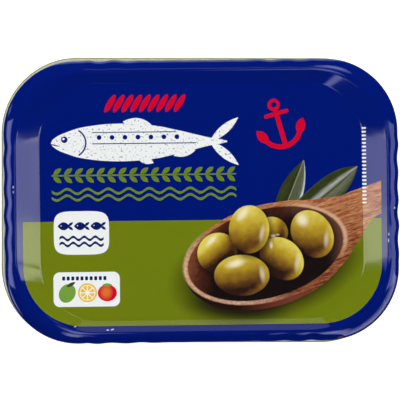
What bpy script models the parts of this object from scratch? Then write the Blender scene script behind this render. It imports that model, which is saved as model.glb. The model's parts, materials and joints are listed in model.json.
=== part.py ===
"""Shallow rounded-rectangular sardine tin, closed.

A drawn can with its closed end uppermost, and below it an easy-open end that is
rolled onto the can in a double seam. A pull ring is riveted to that end.
Metres, +Z up, origin at the middle of the footprint on the surface it stands on.
"""

import math

import bmesh
import bpy

# Outline of the rolled seam, which is the widest part of the tin
SEAM_WIDTH = 0.1060
SEAM_DEPTH = 0.0764
SEAM_HEIGHT = 0.0027
SEAM_ROUNDING = 0.0005
SEAM_FOOT_WIDTH = 0.0006
SEAM_PROUD = 0.0012

# The drawn can
TIN_HEIGHT = 0.0220
BODY_WIDTH = SEAM_WIDTH - 2 * SEAM_PROUD
BODY_DEPTH = SEAM_DEPTH - 2 * SEAM_PROUD
BODY_CORNER = 0.0180
BODY_TURN = math.radians(0.65)
CORNER_SEGMENTS = 18
SHOULDER_RADIUS = 0.0030
SHOULDER_STEPS = 7
CREST_WIDTH = 0.0004
SLOPE_ON_LONG_SIDES = 0.0028
SLOPE_ON_SHORT_SIDES = 0.0060
FACE_DROP = 0.0008
SKIRT_THICKNESS = 0.0005

# Space kept between neighbouring solids
GAP = 0.0003
DRAFT = 0.0002

# The end below, measured up from the surface the tin stands on
PLUG_TOP = 0.0054
PANEL_Z = 0.0034
GROOVE_Z = 0.0046
CHUCK_FOOT_INSET = 0.0015
CHUCK_TOP_INSET = 0.0026
GROOVE_WIDTH = 0.0008
GROOVE_RETURN = 0.0008
CENTRE_SIZE = (0.0460, 0.0500)
CENTRE_MIDDLE_X = 0.0180
CENTRE_CORNER = 0.0120
CENTRE_RISE = 0.0005

# The pull ring and its rivet
RIVET_X = -0.0400
RIVET_STEM = 0.0018
RIVET_HEAD = 0.0030
RIVET_HEAD_HEIGHT = 0.0007
RIVET_EDGE = 0.0003
RING_THICKNESS = 0.0012
RING_ROUNDING = 0.0003
RING_NOSE_RADIUS = 0.0058
RING_LOOP_RADIUS = 0.0105
RING_LOOP_DISTANCE = 0.0150
RING_HOLE_RADIUS = 0.0072
RING_HOLE_OFFSET = 0.0004
WELL_RADIUS = 0.0062
WELL_RISE = 0.0008
ROUND_STEPS = 40

# Colour, roughness and metallic value of each finish
BLUE_ENAMEL = ((0.004, 0.010, 0.165, 1.0), 0.22, 0.0)
OLIVE_ENAMEL = ((0.150, 0.190, 0.030, 1.0), 0.28, 0.3)
BARE_TINPLATE = ((0.620, 0.620, 0.600, 1.0), 0.30, 1.0)


def clear_scene():
    """Remove every object that the file holds."""
    for item in list(bpy.data.objects):
        bpy.data.objects.remove(item, do_unlink=True)


def make_collection(name):
    """Return a new collection that is linked to the scene."""
    group = bpy.data.collections.new(name)
    bpy.context.scene.collection.children.link(group)
    return group


def make_material(name, finish):
    """Return a Principled material of one colour, roughness and metallic value."""
    colour, roughness, metallic = finish
    material = bpy.data.materials.new(name)
    material.use_nodes = True
    material.diffuse_color = colour
    shader = material.node_tree.nodes["Principled BSDF"]
    shader.inputs["Base Color"].default_value = colour
    shader.inputs["Roughness"].default_value = roughness
    shader.inputs["Metallic"].default_value = metallic
    return material


def make_object(name, bm, group, material=None):
    """Turn a bmesh into a named object in a collection."""
    bmesh.ops.recalc_face_normals(bm, faces=bm.faces)
    mesh = bpy.data.meshes.new(name)
    bm.to_mesh(mesh)
    bm.free()
    item = bpy.data.objects.new(name, mesh)
    group.objects.link(item)
    if material:
        mesh.materials.append(material)
        mesh.shade_smooth()
        mesh.set_sharp_from_angle(angle=math.radians(35))
    return item


def rounded_block(width, depth, corner, low, high, segments=CORNER_SEGMENTS):
    """Return a bmesh block with round upright edges, and its lower and upper faces."""
    bm = bmesh.new()
    bmesh.ops.create_cube(bm, size=1.0)
    bmesh.ops.scale(bm, vec=(width, depth, high - low), verts=bm.verts)
    bmesh.ops.translate(bm, vec=(0.0, 0.0, (low + high) / 2), verts=bm.verts)
    upright = [e for e in bm.edges if abs(e.verts[0].co.z - e.verts[1].co.z) > (high - low) / 2]
    bmesh.ops.bevel(
        bm,
        geom=upright,
        offset=corner,
        segments=segments,
        profile=0.5,
        affect="EDGES",
        material=-1,
    )
    caps = sorted(bm.faces, key=lambda face: face.calc_center_median().z)
    return bm, caps[0], caps[-1]


def draw_in(bm, cap, stations):
    """Shrink a cap ring by ring, through (inset, height) pairs that start at its own edge."""
    reached = 0.0
    for inset, height in stations:
        bmesh.ops.inset_region(bm, faces=[cap], thickness=inset - reached, use_even_offset=True)
        for vert in cap.verts:
            vert.co.z = height
        reached = inset


def rounding(inset, height, radius, rise, steps):
    """Return stations of a quarter round that leaves an upright wall; rise is 1 up, -1 down."""
    stations = []
    for step in range(1, steps + 1):
        angle = math.pi / 2 * step / steps
        across = radius * (1 - math.cos(angle))
        along = radius * math.sin(angle)
        stations.append((inset + across, height + rise * along))
    return stations


def turn(bm, verts, angle):
    """Turn vertices about the tin's upright axis."""
    for vert in verts:
        x, y = vert.co.x, vert.co.y
        vert.co.x = x * math.cos(angle) - y * math.sin(angle)
        vert.co.y = x * math.sin(angle) + y * math.cos(angle)


def build_drawn_can(group, material):
    """The drawn can: straight wall, round shoulder, crest and a slightly sunken face."""
    wall_top = TIN_HEIGHT - SHOULDER_RADIUS
    wall_foot = SEAM_HEIGHT + GAP
    bm, lower, upper = rounded_block(BODY_WIDTH, BODY_DEPTH, BODY_CORNER, wall_foot, wall_top)

    crest = SHOULDER_RADIUS + CREST_WIDTH
    slope_foot = crest + SLOPE_ON_LONG_SIDES
    stations = rounding(0.0, wall_top, SHOULDER_RADIUS, 1, SHOULDER_STEPS)
    stations.append((crest, TIN_HEIGHT))
    stations.append((slope_foot, TIN_HEIGHT - FACE_DROP))
    draw_in(bm, upper, stations)
    half_now = BODY_WIDTH / 2 - slope_foot
    half_wanted = BODY_WIDTH / 2 - crest - SLOPE_ON_SHORT_SIDES
    bmesh.ops.scale(bm, vec=(half_wanted / half_now, 1.0, 1.0), verts=upper.verts)

    pocket_top = PLUG_TOP + GAP
    draw_in(bm, lower, [(SKIRT_THICKNESS, wall_foot), (SKIRT_THICKNESS + DRAFT, pocket_top)])

    can = make_object("drawn_can", bm, group, material)
    can.rotation_euler.z = BODY_TURN
    return can


def turned_cutter(name, profile, group):
    """Return a turned solid about the rivet's axis, from (radius, height) pairs, top first."""
    mesh = bpy.data.meshes.new(name)
    verts = [(radius, 0.0, height) for radius, height in profile]
    edges = [(index, index + 1) for index in range(len(profile) - 1)]
    mesh.from_pydata(verts, edges, [])
    item = bpy.data.objects.new(name, mesh)
    item.location.x = RIVET_X
    group.objects.link(item)
    screw = item.modifiers.new("turn", "SCREW")
    screw.axis = "Z"
    screw.steps = ROUND_STEPS
    screw.render_steps = ROUND_STEPS
    screw.use_merge_vertices = True
    screw.merge_threshold = 0.00001
    return item


def hide_cutter(item):
    """Show a cutter as wires only and keep it out of renders."""
    item.hide_render = True
    item.display_type = "WIRE"


def join_by(item, tool, operation):
    """Cut a tool from an object, or fuse it on."""
    boolean = item.modifiers.new(tool.name, "BOOLEAN")
    boolean.operation = operation
    boolean.object = tool
    hide_cutter(tool)


def make_rivet(group):
    """The rivet: a stem out of the panel and a flat head that holds the ring."""
    ring_foot = PANEL_Z - GAP - RING_THICKNESS
    head_top = ring_foot - GAP
    head_foot = head_top - RIVET_HEAD_HEIGHT
    root = (PANEL_Z + PLUG_TOP) / 2
    profile = [
        (0.0, root),
        (RIVET_STEM, root),
        (RIVET_STEM, head_top),
        (RIVET_HEAD, head_top),
        (RIVET_HEAD, head_foot + RIVET_EDGE),
        (RIVET_HEAD - RIVET_EDGE, head_foot),
        (0.0, head_foot),
    ]
    return turned_cutter("rivet", profile, group)


def make_well(group):
    """The finger well: a shallow round dish in the panel, under the ring's hole."""
    bm = bmesh.new()
    below = 0.0006
    slant = WELL_RISE + below
    bmesh.ops.create_cone(
        bm,
        cap_ends=True,
        segments=ROUND_STEPS,
        radius1=WELL_RADIUS + slant / 2,
        radius2=WELL_RADIUS - slant / 2,
        depth=slant,
    )
    bmesh.ops.translate(bm, vec=(0.0, 0.0, PANEL_Z - below + slant / 2), verts=bm.verts)
    well = make_object("finger_well", bm, group)
    well.location.x = RIVET_X + RING_LOOP_DISTANCE + RING_HOLE_OFFSET
    return well


def make_centre(group):
    """The raised middle of the panel, pressed towards the inside of the tin."""
    width, depth = CENTRE_SIZE
    foot = PANEL_Z - CENTRE_RISE
    bm, _, upper = rounded_block(width, depth, CENTRE_CORNER, foot, PANEL_Z, segments=8)
    draw_in(bm, upper, [(CENTRE_RISE, PANEL_Z + CENTRE_RISE)])
    centre = make_object("panel_middle", bm, group)
    centre.location.x = CENTRE_MIDDLE_X
    return centre


def build_end(group, cutters, material):
    """The easy-open end: rolled seam, chuck wall, groove, panel, and the rivet in one piece."""
    straight_foot = SEAM_ROUNDING
    straight_top = SEAM_HEIGHT - SEAM_ROUNDING
    corner = BODY_CORNER + SEAM_PROUD
    bm, lower, upper = rounded_block(SEAM_WIDTH, SEAM_DEPTH, corner, straight_foot, straight_top)

    plug = SEAM_PROUD + SKIRT_THICKNESS + GAP
    stations = rounding(0.0, straight_top, SEAM_ROUNDING, 1, 3)
    stations.append((plug, SEAM_HEIGHT))
    draw_in(bm, upper, stations)
    turn(bm, upper.verts, BODY_TURN)
    draw_in(bm, upper, [(DRAFT, PLUG_TOP)])

    foot_end = SEAM_ROUNDING + SEAM_FOOT_WIDTH
    stations = rounding(0.0, straight_foot, SEAM_ROUNDING, -1, 3)
    stations.append((foot_end, 0.0))
    stations.append((CHUCK_FOOT_INSET, CHUCK_FOOT_INSET - foot_end))
    draw_in(bm, lower, stations)
    turn(bm, lower.verts, BODY_TURN)
    chuck = CHUCK_TOP_INSET - CHUCK_FOOT_INSET
    groove_end = chuck + GROOVE_WIDTH
    stations = [
        (chuck, GROOVE_Z),
        (groove_end, GROOVE_Z),
        (groove_end + GROOVE_RETURN, PANEL_Z),
    ]
    draw_in(bm, lower, stations)

    end = make_object("easy_open_end", bm, group, material)
    join_by(end, make_centre(cutters), "DIFFERENCE")
    join_by(end, make_well(cutters), "DIFFERENCE")
    join_by(end, make_rivet(cutters), "UNION")
    return end


def arc(centre_x, radius, start, stop, steps):
    """Return points on an arc about a centre on the X axis, both ends included."""
    points = []
    for step in range(steps + 1):
        angle = start + (stop - start) * step / steps
        points.append((centre_x + radius * math.cos(angle), radius * math.sin(angle)))
    return points


def ring_outlines():
    """Return the pull ring's outer line and its two holes, with the rivet at the origin."""
    touch = math.acos((RING_NOSE_RADIUS - RING_LOOP_RADIUS) / RING_LOOP_DISTANCE)
    loop = arc(RING_LOOP_DISTANCE, RING_LOOP_RADIUS, -touch, touch, ROUND_STEPS)
    nose = arc(0.0, RING_NOSE_RADIUS, touch, 2 * math.pi - touch, ROUND_STEPS // 2)
    last = 2 * math.pi * (ROUND_STEPS - 1) / ROUND_STEPS
    hole_x = RING_LOOP_DISTANCE + RING_HOLE_OFFSET
    finger_hole = arc(hole_x, RING_HOLE_RADIUS, 0.0, last, ROUND_STEPS - 1)
    rivet_hole = arc(0.0, RIVET_STEM + GAP, 0.0, last, ROUND_STEPS - 1)
    return [loop + nose, finger_hole, rivet_hole]


def build_pull_ring(group, material):
    """The pull ring: a flat tab with a round nose, a finger hole and a hole for the rivet."""
    curve = bpy.data.curves.new("pull_ring_outline", "CURVE")
    curve.dimensions = "2D"
    curve.fill_mode = "BOTH"
    curve.extrude = RING_THICKNESS / 2 - RING_ROUNDING
    curve.bevel_depth = RING_ROUNDING
    curve.bevel_resolution = 1
    curve.offset = -RING_ROUNDING
    for outline in ring_outlines():
        spline = curve.splines.new("POLY")
        spline.points.add(len(outline) - 1)
        for point, (x, y) in zip(spline.points, outline):
            point.co = (x, y, 0.0, 1.0)
        spline.use_cyclic_u = True
    ring = bpy.data.objects.new("pull_ring", curve)
    ring.location = (RIVET_X, 0.0, PANEL_Z - GAP - RING_THICKNESS / 2)
    curve.materials.append(material)
    group.objects.link(ring)
    return ring


def main():
    """Build the tin's three pieces and parent them to one empty."""
    clear_scene()
    parts = make_collection("sardine_tin")
    cutters = make_collection("sardine_tin_cutters")

    can = build_drawn_can(parts, make_material("blue_enamel", BLUE_ENAMEL))
    end = build_end(parts, cutters, make_material("olive_enamel", OLIVE_ENAMEL))
    ring = build_pull_ring(parts, make_material("bare_tinplate", BARE_TINPLATE))

    tin = bpy.data.objects.new("sardine_tin", None)
    parts.objects.link(tin)
    for piece in (can, end, ring):
        piece.parent = tin


main()
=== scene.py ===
"""Looks of the closed sardine tin: printed enamel, rolled seam, easy-open end and studio."""

from __future__ import annotations

import json
import logging
import math
from collections.abc import Iterable, Sequence
from dataclasses import dataclass, field, replace
from enum import Enum

import bmesh
import bpy
from mathutils import Matrix, Vector

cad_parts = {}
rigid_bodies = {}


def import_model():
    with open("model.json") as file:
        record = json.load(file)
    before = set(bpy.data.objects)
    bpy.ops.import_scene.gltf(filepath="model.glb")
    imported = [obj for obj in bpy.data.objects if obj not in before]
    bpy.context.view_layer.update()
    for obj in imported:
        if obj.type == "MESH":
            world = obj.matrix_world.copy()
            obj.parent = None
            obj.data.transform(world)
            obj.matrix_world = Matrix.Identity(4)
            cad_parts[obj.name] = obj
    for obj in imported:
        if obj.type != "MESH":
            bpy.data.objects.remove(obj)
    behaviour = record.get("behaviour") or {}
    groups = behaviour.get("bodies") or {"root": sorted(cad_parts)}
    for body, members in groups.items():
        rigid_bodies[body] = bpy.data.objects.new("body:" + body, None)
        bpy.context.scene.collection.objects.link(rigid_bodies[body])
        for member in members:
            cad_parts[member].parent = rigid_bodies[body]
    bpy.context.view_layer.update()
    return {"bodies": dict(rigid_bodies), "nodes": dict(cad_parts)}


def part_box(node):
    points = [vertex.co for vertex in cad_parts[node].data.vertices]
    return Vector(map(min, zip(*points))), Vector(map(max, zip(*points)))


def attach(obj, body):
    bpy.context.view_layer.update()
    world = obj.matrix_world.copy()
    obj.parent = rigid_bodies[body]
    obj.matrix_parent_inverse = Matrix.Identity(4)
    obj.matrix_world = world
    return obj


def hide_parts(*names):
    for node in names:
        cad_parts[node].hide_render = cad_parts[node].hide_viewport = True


log = logging.getLogger("sardine_tin")

MM = 0.001
PHOTO_SIDE = 400
# The photo shows the can and its print turned by this angle against the seam.
BODY_TURN = math.radians(0.65)
# How far each new ring is first drawn in before its vertices are put in place.
FIRST_STEP = 0.01 * MM
# The print's scale, the middle of its layout and the width of its soft edges, in millimetres.
PRINT_SCALE = 1.002
PRINT_MIDDLE = (-0.18, -0.08)
PRINT_EDGE = 0.06

Station = tuple[float, float]
Triple = tuple[float, float, float]
Ink = tuple[float, float, float, float]
Socket = bpy.types.NodeSocket
Value = Socket | float


def ink(red: int, green: int, blue: int) -> Ink:
    """Turn an 8-bit display colour into the linear colour that a shader takes.

    Args:
        red: Red, 0 to 255.
        green: Green, 0 to 255.
        blue: Blue, 0 to 255.

    Returns:
        The linear colour, with full opacity.
    """
    linear = []
    for part in (red, green, blue):
        share = part / 255
        linear.append(share / 12.92 if share <= 0.04045 else ((share + 0.055) / 1.055) ** 2.4)
    return (linear[0], linear[1], linear[2], 1.0)


class Inks(Enum):
    """The printer's colours, as they look under the studio light."""

    BLUE = ink(1, 23, 113)
    OLIVE_FIELD = ink(110, 124, 18)
    OLIVE_LINES = ink(104, 128, 30)
    WHITE = ink(238, 241, 240)
    RED = ink(208, 8, 44)
    NAVY = ink(8, 28, 92)
    LEAF_DARK = ink(36, 42, 20)
    LEAF_MID = ink(60, 70, 34)
    LEAF_LIGHT = ink(116, 120, 104)
    LEAF_EDGE = ink(214, 222, 226)
    LEAF_RIB = ink(150, 150, 134)
    WOOD_UNDER = ink(34, 18, 17)
    WOOD_RED = ink(112, 54, 44)
    WOOD_DARK = ink(112, 56, 34)
    WOOD_MID = ink(156, 94, 60)
    WOOD_LIGHT = ink(198, 142, 98)
    WOOD_RIM = ink(214, 172, 140)
    BOWL_DARK = ink(22, 16, 17)
    BOWL_WARM = ink(76, 36, 25)
    BOWL_RIGHT = ink(94, 61, 50)
    SPOON_SHADE = ink(38, 30, 12)
    OLIVE_DEEP = ink(46, 27, 20)
    OLIVE_LOW = ink(100, 66, 27)
    OLIVE_MID = ink(148, 114, 33)
    OLIVE_LIT = ink(188, 160, 44)
    OLIVE_GLOW = ink(220, 204, 92)
    OLIVE_SHINE = ink(240, 230, 196)
    FRUIT_GREEN = ink(116, 158, 62)
    FRUIT_YELLOW = ink(236, 192, 28)
    FRUIT_ORANGE = ink(222, 112, 50)
    SCUFF = ink(178, 190, 226)
    CHIP = ink(110, 62, 50)


@dataclass(frozen=True)
class Spot:
    """Where a motif lies on the face, its half sizes, all in millimetres, and its turn in degrees."""

    x: float
    y: float
    wide: float = 1.0
    high: float = 1.0
    turn: float = 0.0


class Canvas:
    """A material's node tree, with short calls that each add a node and return its output."""

    def __init__(self, name: str) -> None:
        """Start an empty tree with a Principled shader.

        Args:
            name: The material's name.
        """
        self.material = bpy.data.materials.new(name)
        self.material.use_nodes = True
        self.tree = self.material.node_tree
        self.shader = self.tree.nodes["Principled BSDF"]

    def add(self, kind: str, *inputs: Value | Sequence[float], **settings: object) -> bpy.types.Node:
        """Add a node.

        Args:
            kind: The node's type name.
            *inputs: A socket or a value for each of the node's first inputs.
            **settings: The node's own properties.

        Returns:
            The new node.
        """
        node = self.tree.nodes.new(kind)
        for key, setting in settings.items():
            setattr(node, key, setting)
        for socket, given in zip(node.inputs, inputs):
            self.feed(socket, given)
        return node

    def feed(self, socket: Socket, given: Value | Sequence[float]) -> None:
        """Link a socket to another, or set its value.

        Args:
            socket: The input.
            given: Another node's output, a number or a row of numbers.
        """
        if isinstance(given, Socket):
            self.tree.links.new(given, socket)
        else:
            socket.default_value = given

    def math(self, operation: str, *inputs: Value) -> Socket:
        """Return the result of a Math node."""
        return self.add("ShaderNodeMath", *inputs, operation=operation).outputs[0]

    def size(self, value: Value) -> Socket:
        """Return a value without its sign."""
        return self.math("ABSOLUTE", value)

    def gap(self, value: Value, other: Value) -> Socket:
        """Return how far apart two values are."""
        return self.size(self.math("SUBTRACT", value, other))

    def scaled(self, value: Value, slope: Value, start: Value) -> Socket:
        """Return a value times a slope, and a start added to it."""
        return self.math("MULTIPLY_ADD", value, slope, start)

    def vector(self, operation: str, *inputs: Value | Sequence[float]) -> Socket:
        """Return the vector that a Vector Math node gives."""
        return self.add("ShaderNodeVectorMath", *inputs, operation=operation).outputs[0]

    def length(self, point: Value) -> Socket:
        """Return a vector's length."""
        return self.add("ShaderNodeVectorMath", point, operation="LENGTH").outputs["Value"]

    def dot(self, point: Value, way: Sequence[float]) -> Socket:
        """Return how far a point lies along a way."""
        node = self.add("ShaderNodeVectorMath", point, way, operation="DOT_PRODUCT")
        return node.outputs["Value"]

    def parts(self, point: Value) -> tuple[Socket, Socket]:
        """Return a point's x and y."""
        node = self.add("ShaderNodeSeparateXYZ", point)
        return node.outputs["X"], node.outputs["Y"]

    def join(self, x: Value, y: Value) -> Socket:
        """Return the point at x and y."""
        return self.add("ShaderNodeCombineXYZ", x, y).outputs[0]

    def place(self, point: Value, spot: Spot) -> Socket:
        """Return a point as a spot sees it: from its middle, along its turn, in its half sizes.

        Args:
            point: The point.
            spot: The spot.

        Returns:
            The point in the spot's own frame.
        """
        turn = (0.0, 0.0, math.radians(spot.turn))
        scale = (spot.wide, spot.high, 1.0)
        middle = (spot.x, spot.y, 0.0)
        node = self.add("ShaderNodeMapping", point, middle, turn, scale, vector_type="TEXTURE")
        return node.outputs[0]

    def inside(self, distance: Value, limit: Value = 1.0, soft: float = PRINT_EDGE) -> Socket:
        """Return 1 where a distance is under a limit and 0 past it.

        Args:
            distance: The distance to test.
            limit: Where the edge lies.
            soft: How wide the edge is.

        Returns:
            The mask.
        """
        over = self.math("SUBTRACT", distance, limit)
        return self.add("ShaderNodeMapRange", over, soft / 2, -soft / 2, 0.0, 1.0).outputs[0]

    def fade(self, value: Value, start: float, stop: float) -> Socket:
        """Return 0 at start and 1 at stop, with a smooth run between."""
        ends = (value, start, stop, 0.0, 1.0)
        return self.add("ShaderNodeMapRange", *ends, interpolation_type="SMOOTHSTEP").outputs[0]

    def both(self, *masks: Value) -> Socket:
        """Return the mask of what all masks hold.

        Args:
            masks: The masks.

        Returns:
            Their product.
        """
        joined = masks[0]
        for mask in masks[1:]:
            joined = self.math("MULTIPLY", joined, mask)
        return joined

    def either(self, *masks: Value) -> Socket:
        """Return the mask of what any mask holds.

        Args:
            masks: The masks.

        Returns:
            Their maximum.
        """
        joined = masks[0]
        for mask in masks[1:]:
            joined = self.math("MAXIMUM", joined, mask)
        return joined

    def without(self, mask: Value, hole: Value) -> Socket:
        """Return a mask with a hole cut out of it."""
        return self.both(mask, self.math("SUBTRACT", 1.0, hole))

    def blend(self, mask: Value, under: Value, over: Value) -> Socket:
        """Return one colour laid over another through a mask.

        Args:
            mask: How much of the upper colour shows.
            under: The lower colour.
            over: The upper colour.

        Returns:
            The mixed colour.
        """
        node = self.tree.nodes.new("ShaderNodeMix")
        node.data_type = "RGBA"
        self.feed(node.inputs["Factor"], mask)
        self.feed(node.inputs[6], under)
        self.feed(node.inputs[7], over)
        return node.outputs[2]

    def noise(self, point: Value, scale: float, detail: float = 2.0) -> Socket:
        """Return a noise between 0 and 1.

        Args:
            point: Where it is read.
            scale: How fine it is.
            detail: How many finer layers it has.

        Returns:
            The noise.
        """
        node = self.tree.nodes.new("ShaderNodeTexNoise")
        self.feed(node.inputs["Vector"], point)
        node.inputs["Scale"].default_value = scale
        node.inputs["Detail"].default_value = detail
        return node.outputs["Fac"]

    def profile(self, along: Value, points: Sequence[Station]) -> Socket:
        """Return a smooth curve's height; it runs through points that lie between 0 and 1.

        Args:
            along: The place along the curve.
            points: The curve's points, in order.

        Returns:
            The height.
        """
        node = self.add("ShaderNodeFloatCurve", 1.0, along)
        curve = node.mapping.curves[0]
        curve.points[0].location = points[0]
        curve.points[1].location = points[-1]
        for x, y in points[1:-1]:
            curve.points.new(x, y)
        node.mapping.update()
        return node.outputs[0]

    def ramp(self, value: Value, stops: Sequence[tuple[float, Inks]]) -> Socket:
        """Return a colour that runs through stops as a value goes from 0 to 1.

        Args:
            value: The value.
            stops: Positions and their inks, in order.

        Returns:
            The colour.
        """
        node = self.add("ShaderNodeValToRGB", value)
        band = node.color_ramp
        band.elements[0].position, band.elements[0].color = stops[0][0], stops[0][1].value
        band.elements[1].position, band.elements[1].color = stops[-1][0], stops[-1][1].value
        for position, tone in stops[1:-1]:
            band.elements.new(position).color = tone.value
        return node.outputs[0]

    def bump(self, height: Value, distance: float) -> None:
        """Give the shader a bump of a height in metres.

        Args:
            height: The pattern, 0 to 1.
            distance: How high 1 stands, in metres.
        """
        node = self.tree.nodes.new("ShaderNodeBump")
        node.inputs["Distance"].default_value = distance
        self.feed(node.inputs["Height"], height)
        self.tree.links.new(node.outputs[0], self.shader.inputs["Normal"])


@dataclass(frozen=True)
class Olive:
    """One painted olive: its place, the way it gets lighter, its two shines and how light it is."""

    spot: Spot
    light: Station = (-0.08, 0.58)
    shine: Spot = Spot(-0.3, 0.66, 0.36, 0.17, 42.0)
    edge: Spot = Spot(0.64, -0.16, 0.12, 0.34, -12.0)
    paleness: float = 0.36


class FacePrint:
    """The print on the can: fields of colour, ornaments, two badges, and olives in a wooden spoon.

    Places are millimetres from the middle of the face, along the can's own sides.
    """

    line_half: float = 0.34

    def __init__(self, canvas: Canvas) -> None:
        """Start with a bare blue can.

        Args:
            canvas: The tree to draw in.
        """
        self.canvas = canvas
        where = canvas.add("ShaderNodeTexCoord").outputs["Object"]
        flat = canvas.vector("MULTIPLY", where, (PRINT_SCALE / MM, PRINT_SCALE / MM, 0.0))
        self.point = canvas.place(flat, Spot(*PRINT_MIDDLE, turn=math.degrees(BODY_TURN)))
        self.colour: Value = Inks.BLUE.value

    def stamp(self, mask: Value, tone: Inks | Socket) -> None:
        """Print a colour through a mask."""
        over = tone.value if isinstance(tone, Inks) else tone
        self.colour = self.canvas.blend(mask, self.colour, over)

    def oval(self, spot: Spot, soft: float = PRINT_EDGE, point: Value | None = None) -> Socket:
        """Return the mask of an ellipse.

        Args:
            spot: Its place, turn and half sizes.
            soft: How wide its edge fades.
            point: The point it is seen from, or None for the print's own.

        Returns:
            The mask.
        """
        c = self.canvas
        local = c.place(self.point if point is None else point, spot)
        return c.inside(c.length(local), 1.0, soft / min(spot.wide, spot.high))

    def hoop(self, spot: Spot, width: float, point: Value) -> Socket:
        """Return the mask of a ring of a radius, spot.wide, and a width of its line.

        Args:
            spot: Its middle and, as wide, its radius.
            width: The width of its line.
            point: The point it is seen from.

        Returns:
            The mask.
        """
        c = self.canvas
        away = c.length(c.vector("SUBTRACT", point, (spot.x, spot.y, 0.0)))
        return c.inside(c.gap(away, spot.wide), width / 2)

    def lens(self, spot: Spot, point: Value | None = None) -> Socket:
        """Return the mask of a leaf shape with pointed ends.

        Args:
            spot: Its place, turn and half sizes.
            point: The point it is seen from, or None for the print's own.

        Returns:
            The mask.
        """
        c = self.canvas
        x, y = c.parts(c.place(self.point if point is None else point, spot))
        rise = c.scaled(x, x, c.size(y))
        return c.inside(rise, 1.0, PRINT_EDGE / min(spot.wide, spot.high))

    def panel(self, spot: Spot, corner: float, point: Value | None = None) -> Socket:
        """Return the mask of a rectangle with round corners.

        Args:
            spot: Its place, turn and half sizes.
            corner: The radius of its corners.
            point: The point it is seen from, or None for the print's own.

        Returns:
            The mask.
        """
        c = self.canvas
        local = c.place(self.point if point is None else point, Spot(spot.x, spot.y, turn=spot.turn))
        core = (spot.wide - corner, spot.high - corner, 0.0)
        over = c.vector("SUBTRACT", c.vector("ABSOLUTE", local), core)
        return c.inside(c.length(c.vector("MAXIMUM", over, (0.0, 0.0, 0.0))), corner)

    def pillow(self, spot: Spot, fullness: float) -> Socket:
        """Return the mask of a rectangle whose four sides bulge.

        Args:
            spot: Its place, turn and half sizes.
            fullness: The power of its curve: 2 is an ellipse, more is squarer.

        Returns:
            The mask.
        """
        c = self.canvas
        x, y = c.parts(c.vector("ABSOLUTE", c.place(self.point, spot)))
        bulge = c.math("ADD", c.math("POWER", x, fullness), c.math("POWER", y, fullness))
        return c.inside(bulge, 1.0, PRINT_EDGE * fullness / spot.high)

    def repeated(self, point: Value, pitch: float) -> Socket:
        """Return a point whose x starts again at every pitch.

        Args:
            point: The point.
            pitch: The pitch.

        Returns:
            The point, with x from minus to plus half a pitch.
        """
        c = self.canvas
        x, y = c.parts(point)
        return c.join(c.math("WRAP", x, pitch / 2, -pitch / 2), y)

    def within(self, value: Value, low: float, high: float) -> Socket:
        """Return the mask of a value between two limits."""
        c = self.canvas
        return c.inside(c.gap(value, (low + high) / 2), (high - low) / 2)

    def double_wave(self, spot: Spot, pitch: float, swing: float, reach: float, tone: Inks) -> None:
        """Print two wavy lines, one above the other.

        Args:
            spot: The middle between them; its high is half of how far they are apart.
            pitch: The length of one wave.
            swing: How far a line swings up and down.
            reach: How far the lines run to each side.
            tone: Their ink.
        """
        c = self.canvas
        x, y = c.parts(c.place(self.point, Spot(spot.x, spot.y)))
        wave = c.math("MULTIPLY", c.math("SINE", c.math("MULTIPLY", x, 2 * math.pi / pitch)), swing)
        lines = c.inside(c.gap(c.gap(y, wave), spot.high), self.line_half)
        self.stamp(c.both(lines, self.within(x, -reach, reach)), tone)

    def draw(self) -> Socket:
        """Print everything, the lowest layer first.

        Returns:
            The colour of the whole print.
        """
        self.fields()
        self.big_sardine()
        self.garland()
        self.wave_band()
        self.rope()
        self.anchor()
        self.leaves()
        self.spoon()
        self.stitches()
        self.fish_badge()
        self.fruit_badge()
        self.wear()
        return self.colour

    def fields(self) -> None:
        """The olive-green field, square above and round below."""
        c = self.canvas
        tall = self.panel(Spot(0.27, -2.4, 47.05, 30.0), 15.8)
        _, y = c.parts(self.point)
        self.stamp(c.both(tall, c.inside(y, -4.9)), Inks.OLIVE_FIELD)

    def worn_white(self, mask: Value) -> None:
        """Print white that has small bare flecks, as from a dry stamp.

        Args:
            mask: What is printed.
        """
        c = self.canvas
        fleck = c.fade(c.noise(self.point, 1.9, 4.0), 0.36, 0.41)
        self.stamp(c.both(mask, c.scaled(fleck, 0.62, 0.38)), Inks.WHITE)

    def big_sardine(self) -> None:
        """A white sardine with a dotted flank, which swims to the left."""
        c = self.canvas
        length, tallest = 48.6, 6.5
        local = c.place(self.point, Spot(-39.2, 15.7))
        x, y = c.parts(local)
        along = c.math("DIVIDE", x, length)
        outline = [
            (0.0, 0.02), (0.02, 0.2), (0.08, 0.42), (0.2, 0.66), (0.36, 0.76), (0.52, 0.7),
            (0.68, 0.48), (0.8, 0.26), (0.87, 0.14), (0.91, 0.1), (0.95, 0.03), (1.0, 0.0),
        ]
        half = c.math("MULTIPLY", c.profile(along, outline), tallest)
        aside = c.size(y)
        body = c.both(c.inside(c.math("SUBTRACT", aside, half), 0.0), self.within(x, 0.0, 0.95 * length))
        tail = self.lens(Spot(45.4, 3.1, 4.9, 1.15, 40.0), c.join(x, aside))
        fins = c.either(
            self.lens(Spot(23.0, 4.6, 4.2, 1.7, 168.0), local),
            self.lens(Spot(24.6, -4.5, 2.4, 1.1, -24.0), local),
            self.lens(Spot(35.0, -2.9, 3.0, 0.9, 14.0), local),
        )
        self.worn_white(c.either(body, tail, fins))

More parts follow.
